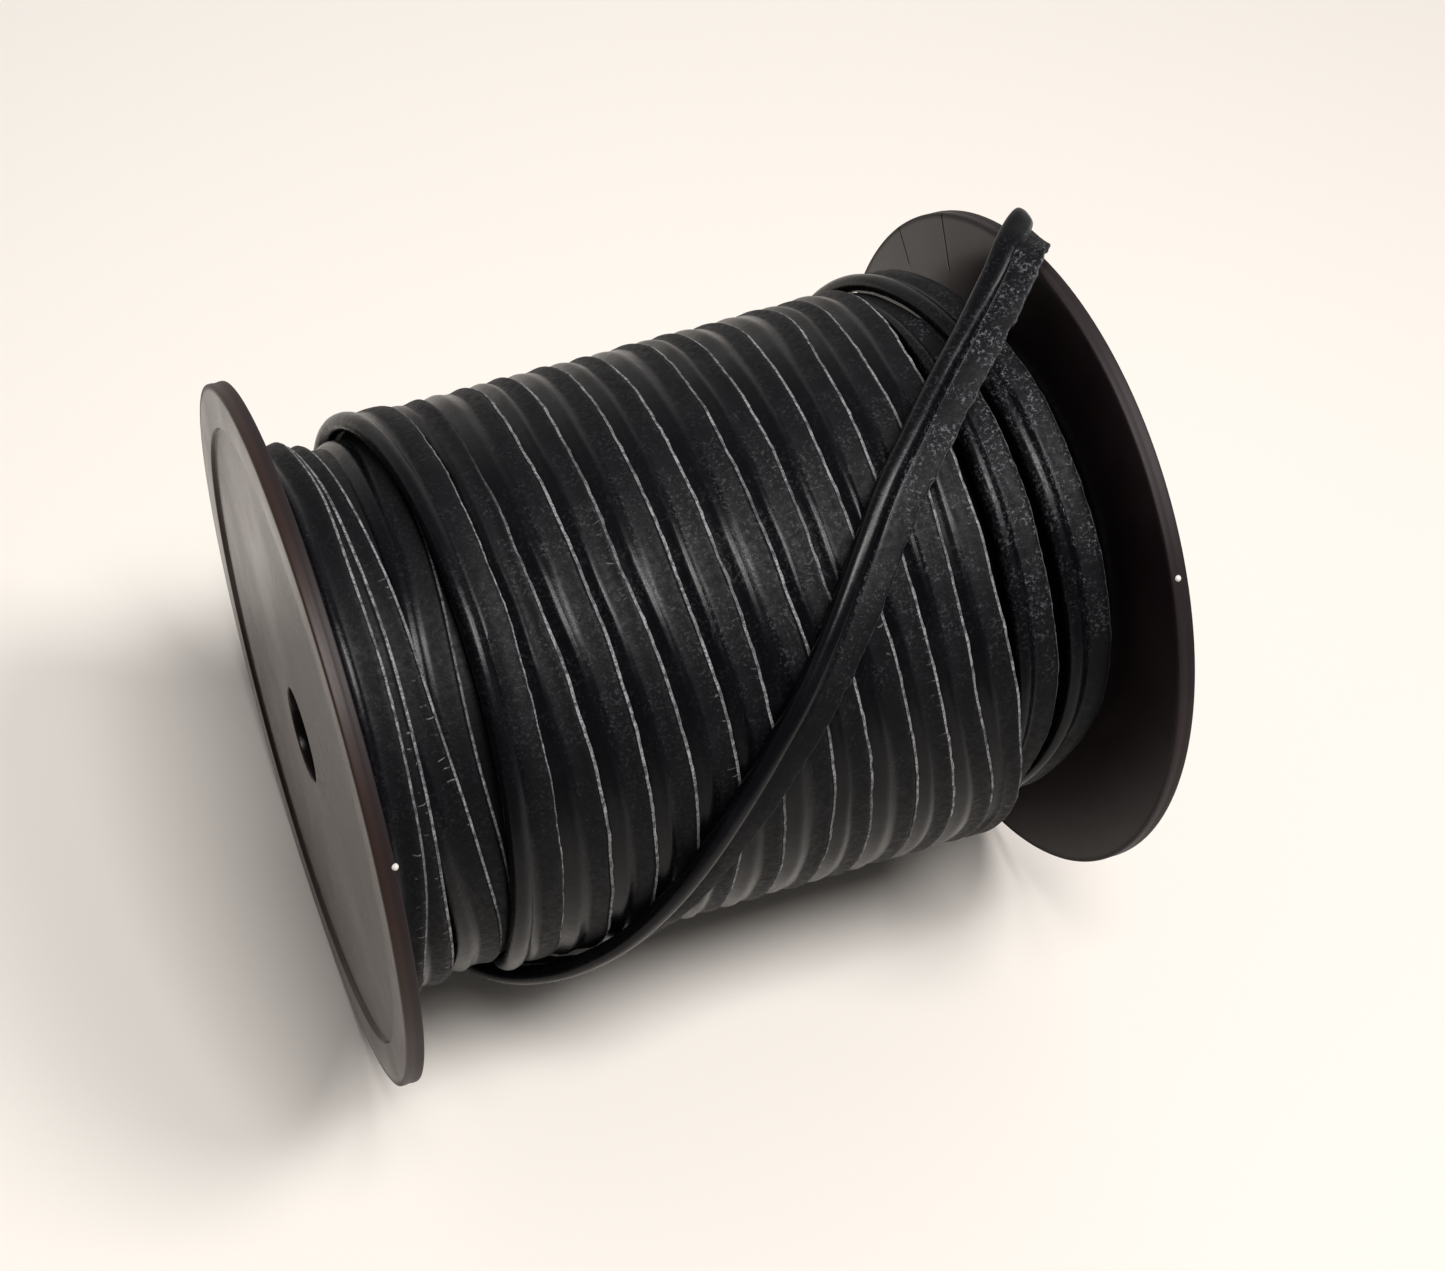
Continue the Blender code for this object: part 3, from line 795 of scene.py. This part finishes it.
# ---------------------------------------------------------------- tail
def tail_frames():
    """Place, width direction and outward normal along the tail, at its CAD solid's route."""
    knots = []
    for along, angle, distance, turn in TAIL_ROUTE:
        out = radial(angle)
        place = np.array([along * MM, 0.0, AXIS]) + out * distance * MM
        tilt = math.radians(turn)
        knots.append(np.concatenate([place, out * math.cos(tilt)
                                     + np.array([math.sin(tilt), 0.0, 0.0])]))
    knots = np.array(knots)
    samples = []
    for i in range(len(knots) - 1):
        a, b, c, d = knots[[max(0, i - 1), i, i + 1, min(len(knots) - 1, i + 2)]]
        pieces = max(1, round(np.linalg.norm(c[:3] - b[:3]) / (TAIL_STEP * MM)))
        for j in range(pieces):
            t = j / pieces
            samples.append(((-t + 2 * t * t - t ** 3) * a + (2 - 5 * t * t + 3 * t ** 3) * b
                            + (t + 4 * t * t - 3 * t ** 3) * c + (-t * t + t ** 3) * d) / 2)
    samples.append(knots[-1])
    samples = np.array(samples)
    place, facing = samples[:, :3], samples[:, 3:]
    tangent = np.gradient(place, axis=0)
    tangent /= np.linalg.norm(tangent, axis=1)[:, None]
    normal = facing - tangent * (facing * tangent).sum(1)[:, None]
    normal /= np.linalg.norm(normal, axis=1)[:, None]
    return place, np.cross(tangent, normal), normal


def tail_section():
    """The leather's outline, what each point is, and its angle round the bead.

    The kinds are 0 for the bead, 1 for the flap and 2 for its raw edge.
    """
    outline, kind = [], []
    for degrees in range(305, 24, -14):
        a = math.radians(degrees)
        sideways, up = (math.copysign(abs(part) ** BEAD_SQUARENESS, part)
                        for part in (math.cos(a), math.sin(a)))
        outline.append((BEAD_CENTRE + BEAD_RADIUS * sideways, BEAD_RADIUS * up))
        kind.append(0)
    outline += [(u, v) for u, v, _ in FLAP_OUTLINE]
    kind += [k for _, _, k in FLAP_OUTLINE]
    outline = np.array(outline)
    turn = np.unwrap(np.arctan2(outline[:, 1], outline[:, 0] - BEAD_CENTRE))
    return outline, np.array(kind), turn


def tail_cover(frames):
    """The leather of the tail with its channel, its ragged flap and flattened end."""
    place, across, normal = frames
    outline, kind, turn = tail_section()
    many = len(place)
    along = np.concatenate([[0], np.cumsum(np.linalg.norm(np.diff(place, axis=0), axis=1))])
    along = along / MM
    u = np.repeat(outline[None, :, 0], many, axis=0)
    v = np.repeat(outline[None, :, 1], many, axis=0)
    to_edge = np.clip((u - UNEVEN_START) / UNEVEN_SPAN, 0, 1)
    on_flap = (kind > 0)[None, :]
    u = u + to_edge ** 2 * (uneven(along, TAIL_EDGE_WAVES[0], seed=41)
                            + uneven(along, TAIL_EDGE_WAVES[1], seed=42))[:, None]
    v = v + on_flap * to_edge * uneven(along, TAIL_FLAP_WAVE, seed=43)[:, None]
    to_end = along[-1] - along
    lift = np.clip((LIFT_START - to_end) / LIFT_EASE, 0, 1)[:, None]
    v = v + on_flap * to_edge ** 2 * LIFT * lift * (1 - np.clip(
        (LIFT_END - to_end) / LIFT_END_EASE, 0, 1))[:, None]
    flat = np.clip((FLAT_START - to_end) / FLAT_EASE, 0, 1)[:, None]
    flat = flat * flat * (3 - 2 * flat)
    on_bead = (kind == 0)[None, :]
    v = np.where(on_bead & (v > 0), v * (1 - FLAT_LOWER * flat), v)
    u = np.where(on_bead, BEAD_CENTRE + (u - BEAD_CENTRE) * (1 + FLAT_WIDER * flat), u)
    outer = place[:, None, :] + MM * (across[:, None, :] * u[..., None]
                                      + normal[:, None, :] * v[..., None])
    cu = BEAD_CENTRE + CHANNEL_RADIUS * np.cos(turn)
    cv = CHANNEL_RADIUS * np.sin(turn)
    cv = np.where(cv < 0, cv * CHANNEL_DROP, cv)
    inner = place[:, None, :] + MM * (across[:, None, :] * cu[None, :, None]
                                      + normal[:, None, :] * cv[None, :, None])
    share = along / along[-1]
    scuffed = np.interp(share, *zip(*TAIL_SCUFFS))
    weight = np.where(kind > 0, 1.0, TAIL_BEAD_SHARE)
    body = Body()
    body.sweep(outer, False, False, along=along[:, None],
               inwards=np.where(kind > 0, PIPING_WIDTH / 2 - outline[:, 0], ON_BEAD)[None, :],
               raw=np.where(kind == 2, TAIL_RAW, 0.0)[None, :], ticked=0.0,
               scuffed=scuffed[:, None] * weight)
    first_inner = body.count
    body.sweep(inner, False, False, along=along[:, None], inwards=ON_BEAD, raw=1.0,
               ticked=0.0, scuffed=0.0)
    around = len(outline)
    for ring, inner_ring in ((0, first_inner), ((many - 1) * around,
                                                first_inner + (many - 1) * around)):
        for i in range(around):
            k = (i + 1) % around
            body.faces.append([ring + i, ring + k, inner_ring + k, inner_ring + i])
    return body


# ---------------------------------------------------------------- reel
def rounded(points, radii):
    """A closed outline with its corners rounded: each point has a radius, 0 for sharp."""
    made = []
    count = len(points)
    for i, (point, radius) in enumerate(zip(points, radii)):
        p, before, after = (np.array(points[k % count], float) for k in (i, i - 1, i + 1))
        if radius <= 0:
            made.append(tuple(p))
            continue
        a = before - p
        b = after - p
        reach = min(radius, 0.45 * np.linalg.norm(a), 0.45 * np.linalg.norm(b))
        a, b = a / np.linalg.norm(a) * reach, b / np.linalg.norm(b) * reach
        for t in np.linspace(0, 1, 5):
            made.append(tuple(p + a * (1 - t) ** 2 + b * t ** 2))
    return made


def flange(name, side, plastic, pale):
    """One flange: rim with rounded corners and a shallow dip, raised ring, recessed face."""
    outer = REEL_WIDTH / 2
    floor = outer - RECESS_DEPTH
    middle = (outer + INNER_FACE) / 2
    points = (
        (BORE_RADIUS, floor), (RECESS_RADIUS, floor), (RECESS_RADIUS + RECESS_SLOPE, outer),
        (FLANGE_RADIUS, outer), (FLANGE_RADIUS, middle + RIM_DIP_HALF),
        (FLANGE_RADIUS - RIM_DIP, middle), (FLANGE_RADIUS, middle - RIM_DIP_HALF),
        (FLANGE_RADIUS, INNER_FACE), (COLLAR_OUTER, INNER_FACE),
        (COLLAR_OUTER, INNER_FACE - COLLAR_LENGTH),
        (COLLAR_OUTER - COLLAR_WALL, INNER_FACE - COLLAR_LENGTH),
        (COLLAR_OUTER - COLLAR_WALL, INNER_FACE), (BORE_RADIUS + HUB_WALL, INNER_FACE),
        (BORE_RADIUS + HUB_WALL, INNER_FACE - HUB_LENGTH), (BORE_RADIUS, INNER_FACE - HUB_LENGTH),
    )
    outline = rounded(points, CORNERS)
    distance = np.array([r for r, _ in outline])
    across = np.array([x for _, x in outline]) * side
    angles = np.arange(0, 360, 360 / TURNED_STEPS)
    zero = np.zeros((len(angles), len(outline)))
    body = Body()
    body.sweep(on_reel(across + zero, angles[:, None] + zero, distance + zero), True, False)
    along, angle, radius = PIPS[side]
    lat, lon = np.meshgrid(np.linspace(0.12, math.pi - 0.12, 9),
                           np.arange(0, 2 * math.pi, math.pi / 7), indexing="ij")
    ball = np.stack([np.sin(lat) * np.cos(lon), np.sin(lat) * np.sin(lon), np.cos(lat)], -1)
    centre = on_reel(np.array(along * side), np.array(angle), np.array(radius))
    body.sweep(centre + ball * PIP_RADIUS * MM, False, True)
    obj = body.piece(name, [plastic, pale], FLANGE_SHARP)
    first_pip = len(angles) * len(outline)
    for face in obj.data.polygons:
        if face.vertices[0] >= first_pip:
            face.material_index = 1
    return obj


# ---------------------------------------------------------------- the object
# Edges that turn by more than this many degrees stay sharp.
TAIL_SHARP, WOUND_SHARP, FLANGE_SHARP = 60, 48, 35

leather = leather_material()
plastic = plastic_material("reel_plastic", PLASTIC, PLASTIC_WORN, PLASTIC_ROUGHNESS)
# The stubs' pale material is a painted glint.
pale = pip_glint_material()

frames = tail_frames()
tail = tail_cover(frames).piece("piping_tail", [leather], TAIL_SHARP)
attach(tail, "root")
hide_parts("piping_tail_cover")

for made, name, node in ((top_layer(), "piping_wound_turns", "piping_top_layer"),
                         (lower_layers(), "piping_lower_turns", "piping_lower_layers")):
    made = made.piece(name, [leather], WOUND_SHARP)
    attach(made, "root")
    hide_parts(node)

for label, side in (("left", -1), ("right", 1)):
    made = flange(label + "_flange_moulding", side, plastic, pale)
    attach(made, "root")
    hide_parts(label + "_flange")

for node, material in (("barrel", plastic), ("piping_tail_filler", filler_material())):
    mesh = frame["nodes"][node].data
    mesh.materials.clear()
    mesh.materials.append(material)

# ---------------------------------------------------------------- stage
floor_mesh = bpy.data.meshes.new("floor")
floor_mesh.from_pydata([(x * FLOOR_HALF, y * FLOOR_HALF, 0) for x, y in
                        ((-1, -1), (1, -1), (1, 1), (-1, 1))], [], [(0, 1, 2, 3)])
floor_mesh.materials.append(floor_material())
floor = bpy.data.objects.new("floor", floor_mesh)
ROOT.link(floor)
floor.location.z = min(CAD_BOX[0].z, 0.0) - FLOOR_DROP


def studio_world():
    """A pale room: bright at the horizon, dimmer overhead and in front."""
    world = bpy.data.worlds.new("studio")
    world.use_nodes = True
    nodes, links = world.node_tree.nodes, world.node_tree.links
    split = nodes.new("ShaderNodeSeparateXYZ")
    links.new(nodes.new("ShaderNodeTexCoord").outputs["Generated"], split.inputs[0])

    def ramp(axis, low, high, to_low, to_high):
        node = nodes.new("ShaderNodeMapRange")
        links.new(split.outputs[axis], node.inputs["Value"])
        for key, number in (("From Min", low), ("From Max", high), ("To Min", to_low),
                            ("To Max", to_high)):
            node.inputs[key].default_value = number
        return node.outputs["Result"]

    shade = nodes.new("ShaderNodeMix")
    shade.data_type = "RGBA"
    links.new(ramp("Z", *SKY_CHANGE, 0.0, 1.0), shade.inputs[0])
    shade.inputs[6].default_value = (*SKY_LOW, 1.0)
    shade.inputs[7].default_value = (*SKY_HIGH, 1.0)
    links.new(shade.outputs[2], nodes["Background"].inputs["Color"])
    strength = nodes.new("ShaderNodeMath")
    strength.operation = "MULTIPLY"
    strength.inputs[1].default_value = SKY_STRENGTH
    links.new(ramp("Y", *SKY_FRONT, 1.0), strength.inputs[0])
    links.new(strength.outputs[0], nodes["Background"].inputs["Strength"])
    bpy.context.scene.world = world


studio_world()


def lamp(name, towards, size, power):
    """A square soft light that shines at the reel from a direction."""
    data = bpy.data.lights.new(name, "AREA")
    data.energy, data.size, data.color = power, size, LAMP_COLOUR
    obj = bpy.data.objects.new(name, data)
    ROOT.link(obj)
    centre = Vector((0, 0, AXIS))
    obj.location = centre + Vector(towards).normalized() * LAMP_DISTANCE
    obj.rotation_euler = (centre - obj.location).to_track_quat("-Z", "Y").to_euler()


for row in LAMPS:
    lamp(*row)

camera_data = bpy.data.cameras.new("camera")
camera_data.lens = CAMERA_LENS
camera_data.sensor_width = SENSOR_WIDTH
camera_data.shift_x = CAMERA_SHIFT
camera = bpy.data.objects.new("camera", camera_data)
ROOT.link(camera)
azimuth, elevation, roll = (math.radians(a) for a in
                            (CAMERA_AZIMUTH, CAMERA_ELEVATION, CAMERA_ROLL))
back = Vector((math.sin(azimuth) * math.cos(elevation),
               -math.cos(azimuth) * math.cos(elevation), math.sin(elevation)))
level = Vector((math.cos(azimuth), math.sin(azimuth), 0))
rise = back.cross(level)
right_side = level * math.cos(roll) + rise * math.sin(roll)
upwards = back.cross(right_side)
camera.matrix_world = Matrix.Translation(Vector(CAMERA_PLACE)) @ Matrix(
    (right_side, upwards, back)).transposed().to_4x4()
bpy.context.scene.camera = camera

bpy.context.scene.view_settings.view_transform = "Standard"
bpy.context.scene.view_settings.look = "Medium High Contrast"
